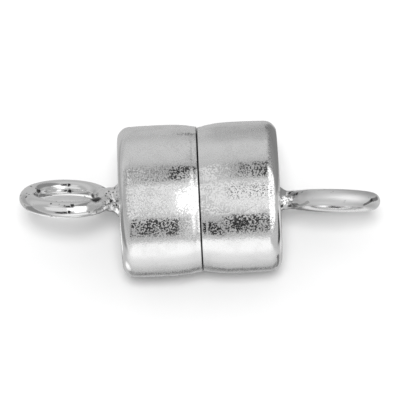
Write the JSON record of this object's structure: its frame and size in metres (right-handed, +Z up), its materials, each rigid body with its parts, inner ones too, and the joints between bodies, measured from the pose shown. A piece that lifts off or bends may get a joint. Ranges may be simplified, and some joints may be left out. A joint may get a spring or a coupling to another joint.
{
  "type": "magnetic barrel clasp",
  "caption": "Round magnetic jewellery clasp in bright metal: a cup on either side of a fine seam, each with a wire ring soldered to its end, that pull apart and swivel.",
  "frame": {"origin": "on the surface that the clasp lies on, straight below the middle of the seam", "axes": "+X along the barrel towards the right ring, +Z up"},
  "size_m": [0.013, 0.0054, 0.0055],
  "materials": {
    "bright_silver": "bright polish",
    "magnet_plating": "satin"
  },
  "bodies": {
    "left_half": {"ring_cup_left": "bright_silver", "magnet_left": "magnet_plating"},
    "right_magnet": {"magnet_right": "magnet_plating"},
    "right_half": {"ring_cup_right": "bright_silver"}
  },
  "joints": [
    {"name": "pull_apart", "type": "slide", "parent": "left_half", "child": "right_magnet", "axis": [1, 0, 0], "range_m": [0, 0.01]},
    {"name": "swivel", "type": "hinge", "parent": "right_magnet", "child": "right_half", "pos_m": [0.00147, 0, 0.00275], "axis": [1, 0, 0], "continuous": true}
  ]
}
